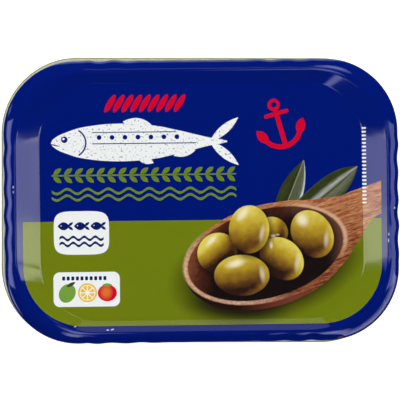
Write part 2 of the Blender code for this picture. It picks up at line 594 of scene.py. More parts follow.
        gill = c.both(self.hoop(Spot(5.4, 0.0, 3.7), 0.42, local), self.within(x, 7.2, 9.4))
        eye = self.oval(Spot(3.5, 0.85, 0.85, 0.85), point=local)
        mouth = self.lens(Spot(0.9, -0.55, 1.5, 0.16, -14.0), local)
        flank = self.within(x, 10.8, 38.0)
        dots = self.repeated(c.vector("SUBTRACT", local, (12.6, 0.0, 0.0)), 3.4)
        row = c.both(self.oval(Spot(0.0, 1.35, 0.62, 0.62), point=dots), self.within(x, 10.9, 34.7))
        lines = c.either(self.within(y, -0.42, -0.16), self.within(y, 2.55, 2.78))
        lines = c.both(lines, flank, c.inside(c.math("SUBTRACT", aside, half), -0.5))
        marks = c.either(gill, eye, mouth, row, lines)
        self.stamp(marks, Inks.BLUE)
        self.stamp(self.oval(Spot(3.3, 1.05, 0.3, 0.3), point=local), Inks.WHITE)

    def garland(self) -> None:
        """A straight twig with a pair of leaves at every step."""
        c = self.canvas
        pitch = 2.85
        local = c.place(self.point, Spot(-14.95, 7.15))
        x, y = c.parts(self.repeated(local, pitch))
        folded = c.join(x, c.size(y))
        leaf = self.lens(Spot(0.1, 1.08, 1.35, 0.62, 38.0), folded)
        twig = c.inside(c.size(y), 0.2)
        whole, _ = c.parts(local)
        band = self.within(whole, -8.5 * pitch, 8.5 * pitch)
        self.stamp(c.both(c.either(leaf, twig), band), Inks.OLIVE_LINES)

    def wave_band(self) -> None:
        """Two wavy lines, one above the other."""
        self.double_wave(Spot(-14.95, 2.15, high=0.85), 5.38, 0.62, 24.2, Inks.OLIVE_LINES)

    def rope(self) -> None:
        """A red rope of slanting strands."""
        c = self.canvas
        pitch, slant = 2.28, 0.55
        x, y = c.parts(c.place(self.point, Spot(-14.5, 25.9)))
        slanted = c.join(c.scaled(y, -slant, x), y)
        strand = self.oval(Spot(0.0, 0.0, 0.9, 2.3), point=self.repeated(slanted, pitch))
        band = self.within(c.scaled(y, -slant, x), -4.5 * pitch, 4.5 * pitch)
        self.stamp(c.both(strand, band), Inks.RED)

    def anchor(self) -> None:
        """A red anchor that leans to the left."""
        c = self.canvas
        local = c.place(self.point, Spot(20.9, 19.6, turn=16.0))
        x, y = c.parts(local)
        mirrored = c.join(c.size(x), y)
        shank = self.panel(Spot(0.0, -0.3, 0.62, 5.4), 0.3, mirrored)
        stock = self.panel(Spot(0.0, 3.35, 3.3, 0.52), 0.45, mirrored)
        eye = self.hoop(Spot(0.0, 5.75, 1.2), 0.85, mirrored)
        arms = c.both(self.hoop(Spot(0.0, -0.2, 5.3), 1.25, mirrored), c.inside(y, -1.6))
        fluke = self.lens(Spot(5.2, -1.6, 2.3, 1.25, 62.0), mirrored)
        self.stamp(c.either(shank, stock, eye, arms, fluke), Inks.RED)

    def stitches(self) -> None:
        """An upright row of fine white dashes beside the spoon's handle."""
        c = self.canvas
        local = c.place(self.point, Spot(42.95, 9.0, turn=90.0))
        x, _ = c.parts(local)
        dash = self.panel(Spot(0.0, 0.0, 0.23, 0.56), 0.15, self.repeated(local, 0.98))
        self.stamp(c.both(dash, self.within(x, -10.4, 10.4), 0.9), Inks.WHITE)

    def leaves(self) -> None:
        """Two olive leaves behind the spoon, each with a sheen of its own across it."""
        c = self.canvas
        left = [(0.0, 0.95), (0.06, 0.8), (0.16, 0.44), (0.46, 0.36), (0.53, 0.1), (0.8, 0.2), (1.0, 0.12)]
        right = [
            (0.0, 0.25), (0.2, 0.42), (0.36, 0.5), (0.46, 0.3), (0.54, 0.72), (0.66, 0.55), (0.78, 0.15),
            (1.0, 0.25),
        ]
        for spot, blunt, sheen in (
            (Spot(23.2, 0.85, 10.5, 3.15, 68.2), 2.0, left),
            (Spot(31.85, 1.12, 12.1, 3.55, 39.3), 2.8, right),
        ):
            local = c.place(self.point, spot)
            x, y = c.parts(local)
            width = c.math("SUBTRACT", 1.0, c.math("POWER", c.size(x), blunt))
            across = c.scaled(c.math("DIVIDE", y, width), 0.5, 0.5)
            grain = c.noise(c.vector("MULTIPLY", local, (1.5, 9.0, 0.0)), 2.6, 3.0)
            tone = c.math("ADD", c.profile(across, sheen), c.scaled(grain, 0.6, -0.3))
            skin = c.ramp(
                tone,
                [(0.0, Inks.LEAF_DARK), (0.3, Inks.LEAF_MID), (0.6, Inks.LEAF_LIGHT), (1.0, Inks.LEAF_EDGE)],
            )
            rib = c.inside(c.size(y), 0.045, 0.07)
            leaf = c.inside(c.size(y), width, 0.04)
            self.stamp(leaf, c.blend(c.both(rib, 0.7), skin, Inks.LEAF_RIB.value))

    def spoon(self) -> None:
        """A wooden spoon that comes in from the right, with six olives in its bowl."""
        c = self.canvas
        shade = c.inside(c.length(c.place(self.point, Spot(17.4, -17.2, 23.6, 13.0, 16.0))), 1.0, 0.34)
        _, y = c.parts(self.point)
        self.stamp(c.both(shade, c.inside(y, -11.0, 7.0), 0.88), Inks.SPOON_SHADE)
        core = c.fade(c.length(c.place(self.point, Spot(9.5, -27.6, 11.5, 3.4, -4.0))), 1.4, 0.5)
        self.stamp(c.both(core, 0.75), Inks.BOWL_DARK)
        rim = Spot(16.81, -13.85, 22.2, 12.73, 13.8)
        hollow = Spot(16.72, -13.95, 20.97, 11.58, 14.7)
        self.stamp(self.spoon_outline(), self.wood(rim))
        self.spoon_rim(rim, hollow)
        self.bowl(hollow)
        olives = (
            Olive(
                Spot(18.35, -8.45, 4.35, 4.2), (-0.5, 0.55),
                Spot(0.1, -0.2, 0.16, 0.1), Spot(0.38, -0.12, 0.1, 0.07),
            ),
            Olive(
                Spot(4.1, -13.5, 5.4, 5.1, 40.0), (-0.62, 0.76),
                Spot(-0.3, 0.62, 0.34, 0.14, 45.0), Spot(2.0, 0.0, 0.1), 0.24,
            ),
            Olive(Spot(29.1, -8.9, 5.25, 6.6, 32.0), (-0.02, 0.56), Spot(-0.4, 0.56, 0.28, 0.26, 30.0)),
            Olive(
                Spot(21.0, -15.3, 6.3, 5.1, -42.0), (0.3, 0.62),
                Spot(-0.42, 0.62, 0.08, 0.18, -6.0), Spot(0.7, -0.1, 0.12, 0.42, -14.0), 0.3,
            ),
            Olive(
                Spot(10.45, -19.55, 7.25, 5.4, 0.0), (-0.15, 0.6),
                Spot(-0.22, 0.58, 0.34, 0.18, 24.0), Spot(0.74, 0.06, 0.1, 0.38, 6.0), 0.26,
            ),
            Olive(Spot(12.5, -7.5, 5.3, 6.3, -2.0), paleness=0.43),
        )
        within = c.inside(c.length(c.place(self.point, hollow)), 0.99, 0.02)
        for olive in olives:
            around = replace(olive.spot, x=olive.spot.x + 0.4, y=olive.spot.y - 0.6)
            gloom = c.fade(c.length(c.place(self.point, around)), 1.32, 0.92)
            self.stamp(c.both(gloom, within, 0.72), Inks.BOWL_DARK)
            self.olive(olive)

    def spoon_outline(self) -> Socket:
        """Return the mask of the spoon: an oval bowl and a handle cut off at the field's right edge.

        Returns:
            The mask.
        """
        c = self.canvas
        bowl = self.oval(Spot(17.1, -14.55, 22.3, 13.4, 15.5))
        left, right, low, tall = 16.0, 47.32, -20.0, 26.0
        x, y = c.parts(self.point)
        along = c.math("DIVIDE", c.math("SUBTRACT", x, left), right - left)
        height = c.math("DIVIDE", c.math("SUBTRACT", y, low), tall)
        upper = [
            (0.0, 0.71), (0.07, 0.736), (0.154, 0.758), (0.24, 0.77), (0.41, 0.775), (0.575, 0.798),
            (0.66, 0.812), (0.743, 0.851), (0.828, 0.886), (1.0, 0.96),
        ]
        lower = [
            (0.0, 0.088), (0.6, 0.088), (0.652, 0.094), (0.695, 0.148), (0.737, 0.218), (0.78, 0.309),
            (0.823, 0.369), (0.866, 0.47), (0.909, 0.55), (0.951, 0.595), (1.0, 0.628),
        ]
        top = c.inside(height, c.profile(along, upper), 0.003)
        bottom = c.inside(c.profile(along, lower), height, 0.003)
        return c.either(bowl, c.both(top, bottom, self.within(x, left, right)))

    def wood(self, rim: Spot) -> Socket:
        """Return the wood's colour: streaks along the handle, and a dark underside below the rim.

        Args:
            rim: The outer edge of the bowl's rim.

        Returns:
            The colour.
        """
        c = self.canvas
        along = c.place(self.point, Spot(17.86, -14.43, turn=17.35))
        streaks = c.noise(c.vector("MULTIPLY", along, (0.2, 1.5, 0.0)), 1.0, 5.0)
        fine = c.noise(c.vector("MULTIPLY", along, (0.8, 6.0, 0.0)), 1.0, 3.0)
        grain = c.math("ADD", c.scaled(streaks, 1.5, -0.75), c.scaled(fine, 0.9, -0.45))
        tone = c.math("ADD", c.math("ADD", grain, 0.5), c.dot(along, (0.003, 0.014, 0.0)))
        skin = c.ramp(
            tone,
            [(0.02, Inks.WOOD_UNDER), (0.28, Inks.WOOD_DARK), (0.55, Inks.WOOD_MID), (0.92, Inks.WOOD_LIGHT)],
        )
        x, y = c.parts(self.point)
        beyond = c.fade(c.length(c.place(self.point, rim)), 0.985, 1.015)
        under = c.blend(c.fade(x, 8.0, 24.0), Inks.WOOD_UNDER.value, Inks.WOOD_RED.value)
        return c.blend(c.both(beyond, c.fade(y, -9.0, -13.0), c.fade(x, 33.0, 24.0)), skin, under)

    def spoon_rim(self, rim: Spot, hollow: Spot) -> None:
        """The rim's light: a pale band at the left and below, and a thin bright line at the right.

        Args:
            rim: The outer edge of the rim.
            hollow: Its inner edge.
        """
        c = self.canvas
        local = c.place(self.point, rim)
        speckle = c.fade(c.noise(self.point, 1.5, 5.0), 0.4, 0.58)
        left = c.fade(c.dot(local, (-0.9, -0.42, 0.0)), 0.12, 0.85)
        band = c.both(c.inside(c.length(local), 1.0, 0.03), left)
        self.stamp(c.both(band, c.scaled(speckle, 0.4, 0.58)), Inks.WOOD_RIM)
        inner = c.place(self.point, hollow)
        line = c.inside(c.gap(c.length(inner), 1.03), 0.025, 0.04)
        right = c.fade(c.dot(inner, (0.94, 0.34, 0.0)), 0.6, 0.95)
        self.stamp(c.both(line, right, 0.85), Inks.WOOD_RIM)

    def bowl(self, hollow: Spot) -> None:
        """The bowl's inside: nearly black, with warm walls at the left and at the right.

        Args:
            hollow: The bowl's inside.
        """
        c = self.canvas
        local = c.place(self.point, hollow)
        away = c.length(local)
        mottle = c.scaled(c.noise(self.point, 0.8, 4.0), 0.3, -0.12)
        left = c.math("MULTIPLY", c.fade(c.dot(local, (-0.95, 0.3, 0.0)), 0.5, 1.0), 0.55)
        above = c.math("MULTIPLY", c.fade(c.dot(local, (0.0, 1.0, 0.0)), 0.4, 0.95), 0.22)
        tone = c.both(c.math("ADD", c.math("ADD", left, above), mottle), c.fade(away, 0.5, 0.8))
        inside = c.ramp(tone, [(0.04, Inks.BOWL_DARK), (0.4, Inks.BOWL_WARM), (0.9, Inks.WOOD_MID)])
        wall = c.both(c.fade(away, 0.76, 0.87), c.fade(c.dot(local, (0.96, 0.28, 0.0)), 0.5, 0.85))
        inside = c.blend(c.both(wall, 0.9), inside, Inks.BOWL_RIGHT.value)
        self.stamp(c.inside(away, 1.0, 0.02), inside)

    def olive(self, olive: Olive) -> None:
        """One green olive: lit from above, brown below, with a soft shine and a light right edge.

        Args:
            olive: Its place, light and tones.
        """
        c = self.canvas
        local = c.place(self.point, olive.spot)
        away = c.length(local)
        upright = c.place(local, Spot(0.0, 0.0, turn=-olive.spot.turn))
        round_off = c.math("POWER", away, 3.0)
        lit = c.scaled(round_off, -0.12, c.dot(upright, (*olive.light, 0.0)))
        limb = c.both(c.fade(away, 0.6, 0.97), c.fade(c.dot(upright, (0.8, -0.6, 0.0)), 0.1, 0.9))
        mottle = c.scaled(c.noise(self.point, 0.5, 3.0), 0.3, olive.paleness)
        tone = c.math("ADD", c.scaled(limb, 0.5, lit), mottle)
        tones = (Inks.OLIVE_DEEP, Inks.OLIVE_LOW, Inks.OLIVE_MID, Inks.OLIVE_LIT, Inks.OLIVE_GLOW)
        skin = c.ramp(tone, list(zip((0.0, 0.22, 0.46, 0.7, 0.98), tones)))
        for place, strength in ((olive.shine, 0.9), (olive.edge, 0.5)):
            glow = c.fade(c.length(c.place(upright, place)), 1.5, 0.2)
            skin = c.blend(c.both(glow, strength), skin, Inks.OLIVE_SHINE.value)
        self.stamp(c.inside(away, 1.0, 0.03), skin)

    def fish_badge(self) -> None:
        """A white badge with bulging sides: three small fish over a double wave, in navy."""
        c = self.canvas
        middle = Spot(-31.5, -7.9, 7.25, 5.7)
        self.stamp(self.pillow(middle, 4.6), Inks.WHITE)
        row = c.place(self.point, Spot(middle.x, -6.1))
        x, _ = c.parts(row)
        local = self.repeated(row, 4.3)
        fish = c.either(
            self.lens(Spot(-0.35, 0.0, 1.6, 1.05), local),
            self.lens(Spot(1.45, 0.5, 0.85, 0.36, 36.0), local),
            self.lens(Spot(1.45, -0.5, 0.85, 0.36, -36.0), local),
        )
        fish = c.without(fish, self.oval(Spot(-1.0, 0.12, 0.14, 0.14), point=local))
        self.stamp(c.both(fish, self.within(x, -6.4, 6.4)), Inks.NAVY)
        self.double_wave(Spot(middle.x, -10.1, high=0.78), 2.9, 0.42, 5.8, Inks.NAVY)

    def fruit_badge(self) -> None:
        """A white badge with an olive, a slice of lemon and a tomato under a row of fine dashes."""
        c = self.canvas
        middle = Spot(-30.3, -22.7, 8.7, 4.55)
        self.stamp(self.panel(middle, 1.7), Inks.WHITE)
        local = c.place(self.point, middle)
        local = c.vector("MULTIPLY", local, (middle.wide, middle.high, 0.0))
        self.stamp(self.oval(Spot(-5.1, -1.0, 2.1, 2.55, -30.0), point=local), Inks.FRUIT_GREEN)
        self.stamp(self.lens(Spot(-4.1, 1.3, 1.35, 0.45, 28.0), local), Inks.LEAF_MID)
        self.stamp(self.oval(Spot(0.2, -0.9, 2.5, 2.5), point=local), Inks.FRUIT_YELLOW)
        slice_point = c.vector("ABSOLUTE", c.vector("SUBTRACT", local, (0.2, -0.9, 0.0)))
        spokes = c.either(
            self.panel(Spot(0.0, 0.0, 1.95, 0.16), 0.1, slice_point),
            self.panel(Spot(0.0, 0.0, 0.16, 1.95), 0.1, slice_point),
            self.panel(Spot(0.0, 0.0, 1.95, 0.14, 45.0), 0.1, slice_point),
        )
        self.stamp(c.either(spokes, self.hoop(Spot(0.0, 0.0, 1.95), 0.22, slice_point)), Inks.WHITE)
        self.stamp(self.oval(Spot(5.4, -1.0, 2.5, 2.2), point=local), Inks.RED)
        self.stamp(self.oval(Spot(5.1, -0.8, 1.3, 1.5), soft=1.2, point=local), Inks.FRUIT_ORANGE)
        self.stamp(self.lens(Spot(5.4, 1.1, 1.3, 0.4, 0.0), local), Inks.FRUIT_GREEN)
        dotted = self.repeated(local, 1.2)
        x, _ = c.parts(local)
        line = self.panel(Spot(0.0, 2.9, 0.38, 0.52), 0.2, dotted)
        self.stamp(c.both(line, self.within(x, -6.6, 5.4)), Inks.NAVY)

    def wear(self) -> None:
        """Small bare scuffs along the crest and a chip near one corner."""
        scuffs = (
            Spot(-49.2, 4.3, 0.16, 0.3), Spot(-49.2, 3.0, 0.13, 0.3), Spot(49.2, -9.2, 0.13, 0.35),
            Spot(49.1, -10.8, 0.15, 0.45), Spot(50.9, -2.3, 0.16, 0.25), Spot(-24.9, -33.4, 0.35, 0.16),
            Spot(-23.7, -33.3, 0.42, 0.17, 15.0), Spot(-33.4, -32.4, 0.3, 0.16, 20.0),
        )
        for spot in scuffs:
            self.stamp(self.oval(spot, soft=0.12), Inks.SCUFF)
        self.stamp(self.oval(Spot(36.2, -36.3, 0.8, 0.35, 12.0), soft=0.1), Inks.CHIP)


class Finish(Enum):
    """The finishes of the tin's surfaces, each with the record's slot for it."""

    PRINTED = "blue_enamel"
    LACQUER = "olive_enamel"
    TINPLATE = "bare_tinplate"


@dataclass(frozen=True)
class Enamel:
    """A glossy coat on tinplate."""

    roughness: float = 0.03
    roughness_spread: float = 0.03
    patch_scale: float = 90.0
    ripple_scale: float = 420.0
    ripple_depth: float = 0.001 * MM

    def dress(self, canvas: Canvas) -> None:
        """Set gloss, and a faint ripple of the coat, on a material.

        Args:
            canvas: The material's tree.
        """
        where = canvas.add("ShaderNodeTexCoord").outputs["Object"]
        patches = canvas.noise(where, self.patch_scale, 3.0)
        rough = canvas.scaled(patches, self.roughness_spread, self.roughness)
        canvas.feed(canvas.shader.inputs["Roughness"], rough)
        canvas.bump(canvas.noise(where, self.ripple_scale), self.ripple_depth)


@dataclass(frozen=True)
class Tinplate:
    """Bare rolled tinplate with fine marks along its length."""

    colour: Ink = ink(212, 212, 206)
    dullness: float = 0.72
    roughness: float = 0.3
    roughness_spread: float = 0.14
    metallic: float = 0.7
    marks: Triple = (60.0, 2600.0, 900.0)
    mark_depth: float = 0.004 * MM

    def dress(self, canvas: Canvas) -> None:
        """Set the metal's colour and its rolling marks on a material.

        Args:
            canvas: The material's tree.
        """
        where = canvas.add("ShaderNodeTexCoord").outputs["Object"]
        marks = canvas.noise(canvas.vector("MULTIPLY", where, self.marks), 1.0, 3.0)
        dull = tuple(part * self.dullness for part in self.colour[:3]) + (1.0,)
        canvas.feed(canvas.shader.inputs["Base Color"], canvas.blend(marks, dull, self.colour))
        canvas.shader.inputs["Metallic"].default_value = self.metallic
        rough = canvas.scaled(marks, self.roughness_spread, self.roughness)
        canvas.feed(canvas.shader.inputs["Roughness"], rough)
        canvas.bump(marks, self.mark_depth)


def printed_enamel() -> bpy.types.Material:
    """Return the can's material: the whole print under a gloss coat.

    Returns:
        The material.
    """
    canvas = Canvas("printed_enamel")
    colour = FacePrint(canvas).draw()
    canvas.feed(canvas.shader.inputs["Base Color"], colour)
    Enamel().dress(canvas)
    return canvas.material


def olive_lacquer() -> bpy.types.Material:
    """Return the end's olive-green lacquer, a little uneven.

    Returns:
        The material.
    """
    canvas = Canvas("olive_lacquer")
    where = canvas.add("ShaderNodeTexCoord").outputs["Object"]
    cloud = canvas.noise(where, 60.0, 3.0)
    colour = canvas.blend(cloud, ink(136, 146, 78), ink(150, 160, 92))
    canvas.feed(canvas.shader.inputs["Base Color"], colour)
    Enamel(roughness=0.14).dress(canvas)
    return canvas.material


def bare_tinplate(name: str, plate: Tinplate = Tinplate()) -> bpy.types.Material:
    """Return bare tinplate.

    Args:
        name: The material's name.
        plate: How the metal looks.

    Returns:
        The material.
    """
    canvas = Canvas(name)
    plate.dress(canvas)
    return canvas.material


@dataclass(frozen=True)
class Outline:
    """A rectangle with round corners, by its half sizes and its corners' radius."""

    half_x: float
    half_y: float
    radius: float

    def inset(self, inset: float) -> Outline:
        """Return the outline drawn in evenly."""
        return Outline(self.half_x - inset, self.half_y - inset, self.radius - inset)

    def blend(self, other: Outline, share: float) -> Outline:
        """Return the outline at a share of the way to another.

        Args:
            other: The other outline.
            share: 0 for this one, 1 for the other.

        Returns:
            The outline between them.
        """
        return Outline(
            self.half_x + (other.half_x - self.half_x) * share,
            self.half_y + (other.half_y - self.half_y) * share,
            self.radius + (other.radius - self.radius) * share,
        )

    def carry(self, x: float, y: float, target: Outline) -> Station:
        """Carry a point of this outline over to the same place of another outline.

        Args:
            x: The point's x.
            y: The point's y.
            target: The other outline.

        Returns:
            The point on the other outline.
        """
        core_x = self.half_x - self.radius
        core_y = self.half_y - self.radius
        other_x = target.half_x - target.radius
        other_y = target.half_y - target.radius
        if abs(x) <= core_x:
            return x / core_x * other_x, math.copysign(target.half_y, y)
        if abs(y) <= core_y:
            return math.copysign(target.half_x, x), y / core_y * other_y
        angle = math.atan2(abs(y) - core_y, abs(x) - core_x)
        far_x = other_x + target.radius * math.cos(angle)
        far_y = other_y + target.radius * math.sin(angle)
        return math.copysign(far_x, x), math.copysign(far_y, y)


class RingStack:
    """A closed solid that grows ring by ring out of a block with round upright edges."""

    def __init__(
        self,
        size: tuple[float, float],
        corner: float,
        low: float,
        high: float,
        cuts: tuple[int, int, int] = (0, 0, 0),
        corner_segments: int = 32,
    ) -> None:
        """Make the block.

        Args:
            size: Its width and depth.
            corner: The radius of its upright edges.
            low: The height of its lower face.
            high: The height of its upper face.
            cuts: How often the long sides, the short sides and the height are cut.
            corner_segments: How many faces each round edge has.
        """
        self.bm = bmesh.new()
        tall = high - low
        bmesh.ops.create_cube(self.bm, size=1.0)
        bmesh.ops.scale(self.bm, vec=(size[0], size[1], tall), verts=self.bm.verts)
        bmesh.ops.translate(self.bm, vec=(0.0, 0.0, (low + high) / 2), verts=self.bm.verts)
        bmesh.ops.bevel(
            self.bm,
            geom=self.edges_along(2, tall / 2),
            offset=corner,
            segments=corner_segments,
            profile=0.5,
            affect="EDGES",
            material=-1,
        )
        caps = [face for face in self.bm.faces if abs(face.normal.z) > 0.9]
        bmesh.ops.delete(self.bm, geom=caps, context="FACES_ONLY")
        for axis, count, least in ((0, cuts[0], corner), (1, cuts[1], corner), (2, cuts[2], tall / 2)):
            if count:
                edges = self.edges_along(axis, least)
                bmesh.ops.subdivide_edges(self.bm, edges=edges, cuts=count, use_grid_fill=True)
        rims = [edge for edge in self.bm.edges if edge.is_boundary]
        bmesh.ops.holes_fill(self.bm, edges=rims, sides=0)
        faces = sorted(self.bm.faces, key=lambda face: face.calc_center_median().z)
        self.lower = faces[0]
        self.upper = faces[-1]
        self.outline = Outline(size[0] / 2, size[1] / 2, corner)
        self.start = [(vert.co.x, vert.co.y) for vert in self.upper.verts]

    def edges_along(self, axis: int, least: float) -> list[bmesh.types.BMEdge]:
        """Return the edges that run along an axis and are longer than a least length.

        Args:
            axis: 0, 1 or 2 for x, y or z.
            least: The least length.

        Returns:
            The edges.
        """
        found = []
        for edge in self.bm.edges:
            way = edge.verts[1].co - edge.verts[0].co
            if abs(way[axis]) > least and abs(way[axis]) > 0.999 * way.length:
                found.append(edge)
        return found

    def draw_in(self, cap: bmesh.types.BMFace, stations: Iterable[Station], slot: int = 0) -> None:
        """Shrink a cap ring by ring.

        Args:
            cap: The upper or the lower face.
            stations: Pairs of an inset, counted from the cap's edge now, and a height.
            slot: The material slot of the new rings.
        """
        reached = 0.0
        for inset, height in stations:
            step = inset - reached
            made = bmesh.ops.inset_region(self.bm, faces=[cap], thickness=step, use_even_offset=True)
            for face in made["faces"]:
                face.material_index = slot
            for vert in cap.verts:
                vert.co.z = height
            reached = inset

    def lay(self, target: Outline, height: float) -> None:
        """Shrink the upper cap onto an outline at a height, each vertex to its own place there.

        Args:
            target: The outline.
            height: The height.
        """
        bmesh.ops.inset_region(self.bm, faces=[self.upper], thickness=FIRST_STEP)
        for vert, (x, y) in zip(self.upper.verts, self.start):
            far_x, far_y = self.outline.carry(x, y, target)
            vert.co = (far_x, far_y, height)

    def shrink(self, cap: bmesh.types.BMFace, factors: tuple[float, float]) -> None:
        """Scale a cap about the tin's axis."""
        bmesh.ops.scale(self.bm, vec=(factors[0], factors[1], 1.0), verts=cap.verts)

    def fill_in(self, cap: bmesh.types.BMFace, rings: int) -> None:
        """Lay rings from a cap's edge nearly to its middle, at the cap's own height.

        Args:
            cap: The cap.
            rings: How many rings the whole way to the middle would hold.
        """
        left = 1.0
        for ring in range(1, rings):
            wanted = 1.0 - ring / rings
            bmesh.ops.inset_region(self.bm, faces=[cap], thickness=FIRST_STEP)
            self.shrink(cap, (wanted / left, wanted / left))
            left = wanted

    def turn(self, verts: Iterable[bmesh.types.BMVert], angle: float) -> None:
        """Turn vertices about the tin's axis.

        Args:
            verts: The vertices.
            angle: The angle in radians, anticlockwise from above.
        """
        cosine, sine = math.cos(angle), math.sin(angle)
        for vert in verts:
            x, y = vert.co.x, vert.co.y
            vert.co.x = x * cosine - y * sine
            vert.co.y = x * sine + y * cosine


def quarter(inset: float, height: float, radius: float, rise: int, steps: int) -> list[Station]:
    """Return the stations of a quarter round that leaves an upright wall.

    Args:
        inset: The inset where it starts.
        height: The height where it starts.
        radius: Its radius.
        rise: 1 if it turns upwards from the wall, -1 if downwards.
        steps: How many stations it has.

    Returns:
        The stations, in order.
    """
    stations = []
    for step in range(1, steps + 1):
        angle = math.pi / 2 * step / steps
        across = radius * (1 - math.cos(angle))
        stations.append((inset + across, height + rise * radius * math.sin(angle)))
    return stations


def ease(value: float, start: float, stop: float) -> float:
    """Return 0 at start and 1 at stop, with a smooth run between."""
    share = min(max((value - start) / (stop - start), 0.0), 1.0)
    return share * share * (3 - 2 * share)


def make_piece(
    name: str,
    bm: bmesh.types.BMesh,
    materials: Sequence[bpy.types.Material],
    sharp: float = 40.0,
) -> bpy.types.Object:
    """Turn a bmesh into a piece that rides on the tin.

    Args:
        name: The piece's name.
        bm: Its mesh, which is freed.
        materials: The materials of its slots.
        sharp: The angle past which an edge stays sharp, in degrees.

    Returns:
        The piece's object.
    """
    bmesh.ops.recalc_face_normals(bm, faces=bm.faces)
    mesh = bpy.data.meshes.new(name)
    bm.to_mesh(mesh)
    bm.free()
    mesh.shade_smooth()
    mesh.set_sharp_from_angle(angle=math.radians(sharp))
    for material in materials:
        mesh.materials.append(material)
    piece = bpy.data.objects.new(name, mesh)
    bpy.context.scene.collection.objects.link(piece)
    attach(piece, "root")
    log.info("%s: %d vertices", name, len(mesh.vertices))
    return piece


@dataclass
class DrawnCan:
    """The drawn can: rippled wall, round shoulder, crest and sunken printed face."""

    width: float
    depth: float
    top: float
    foot: float
    corner: float = 19.2 * MM
    shoulder: float = 3.0 * MM
    crest_width: float = 0.05 * MM
    crest_corner: float = 20.5 * MM
    slope_long: float = 3.0 * MM
    slope_short: float = 6.7 * MM
    face_corner: float = 15.0 * MM
    drop: float = 0.8 * MM
    face_edge: float = 0.3 * MM
    face_rings: int = 12
    shoulder_steps: int = 16
    foot_lip: float = 0.2 * MM
    foot_hollow: float = 2.4 * MM
    ripple_height: float = 0.2 * MM
    ripple_pitch: float = 7.4 * MM
    ripple_start: float = 0.5 * MM
    ripple_foot: float = 3.0 * MM
    foot_share: float = 0.4
    calm_share: float = 0.12

    def build(self) -> bpy.types.Object:
        """Make the can.

        Returns:
            The piece.
        """
        wall_top = self.top - self.shoulder
        stack = RingStack((self.width, self.depth), self.corner, self.foot, wall_top, (110, 70, 7))
        crest = self.crest(0.0)
        for across, height in quarter(0.0, wall_top, self.shoulder, 1, self.shoulder_steps):
            stack.lay(stack.outline.blend(crest, across / self.shoulder), height)
        self.slope(stack)
        stack.fill_in(stack.upper, self.face_rings)
        lip = (self.foot_lip, self.foot)
        stack.draw_in(stack.lower, [lip, (1.25 * self.foot_lip, self.foot + self.foot_hollow)])
        for vert in stack.bm.verts:
            self.ripple(vert)
        stack.turn(stack.bm.verts, BODY_TURN)
        piece = make_piece("can_body", stack.bm, [printed_enamel()])
        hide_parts("drawn_can")
        return piece

    def crest(self, inset: float) -> Outline:
        """Return the crest's outline, drawn in by an inset; its corners are rounder than the wall's."""
        reach = self.shoulder + inset
        return Outline(self.width / 2 - reach, self.depth / 2 - reach, self.crest_corner - inset)

    def slope(self, stack: RingStack) -> None:
        """Lead from the crest down to the face, wider on the short sides than on the long ones.

        Args:
            stack: The growing solid.
        """
        start = self.crest(self.crest_width)
        stack.lay(start, self.top)
        face = Outline(start.half_x - self.slope_short, start.half_y - self.slope_long, self.face_corner)
        for share in (0.01, 0.02, 0.03, 0.05, 0.1, 0.2, 0.35, 0.5, 0.65, 0.8, 0.9, 0.96, 0.98, 1.0):
            stack.lay(start.blend(face, share), self.top - self.drop * self.slope_profile(share))
        stack.lay(face.inset(self.face_edge), self.top - self.drop)

    def slope_profile(self, share: float) -> float:
        """Return how much of the drop is done at a share of the slope: straight, with eased ends.

        Args:
            share: The way down the slope, 0 to 1.

        Returns:
            The share of the drop, 0 to 1.
        """
        bend, close = 0.03, 0.04
        slant = 1.0 / (1.0 - bend / 2 - close / 2)
        if share < bend:
            return slant * share * share / (2 * bend)
        if share > 1 - close:
            left = 1 - share
            return 1 - slant * left * left / (2 * close)
        return slant * (share - bend / 2)

    def ripple(self, vert: bmesh.types.BMVert) -> None:
        """Push a vertex of the wall or shoulder in or out, as the drawn metal is rippled there.

        Args:
            vert: The vertex.
        """
        straight_x = self.width / 2 - self.corner
        straight_y = self.depth / 2 - self.corner
        x, y, z = vert.co
        inset = min(self.width / 2 - abs(x), self.depth / 2 - abs(y))
        weight = 1 - ease(inset, self.ripple_start, self.shoulder)
        risen = ease(z, self.foot, self.foot + self.ripple_foot)
        weight *= self.foot_share + (1 - self.foot_share) * risen
        if weight <= 0:
            return
        if abs(y) < straight_y and abs(x) > straight_x + self.corner / 2:
            side = math.copysign(1.0, x)
            fade = 1 - ease(abs(y), 0.8 * straight_y, straight_y)
            vert.co.x += side * weight * fade * self.swell(y, 1.7 * side)
        elif abs(x) < straight_x and abs(y) > straight_y + self.corner / 2:
            side = math.copysign(1.0, y)
            fade = 1 - ease(abs(x), 0.88 * straight_x, straight_x)
            calm = ease(abs(x), 0.3 * straight_x, 0.6 * straight_x)
            fade *= self.calm_share + (1 - self.calm_share) * calm
            vert.co.y += side * weight * fade * self.swell(x, 0.6 + side)

    def swell(self, along: float, phase: float) -> float:
        """Return the ripple's height at a place along a side.

        Args:
            along: The place along the side.
            phase: Where in its wave that side starts.

        Returns:
            The height, outwards.
        """
        turns = 2 * math.pi * along / self.ripple_pitch
        uneven = 0.75 + 0.25 * math.sin(0.37 * turns + 2.0 * phase)
        return self.ripple_height * uneven * math.sin(turns + phase + 0.4 * math.sin(0.23 * turns))


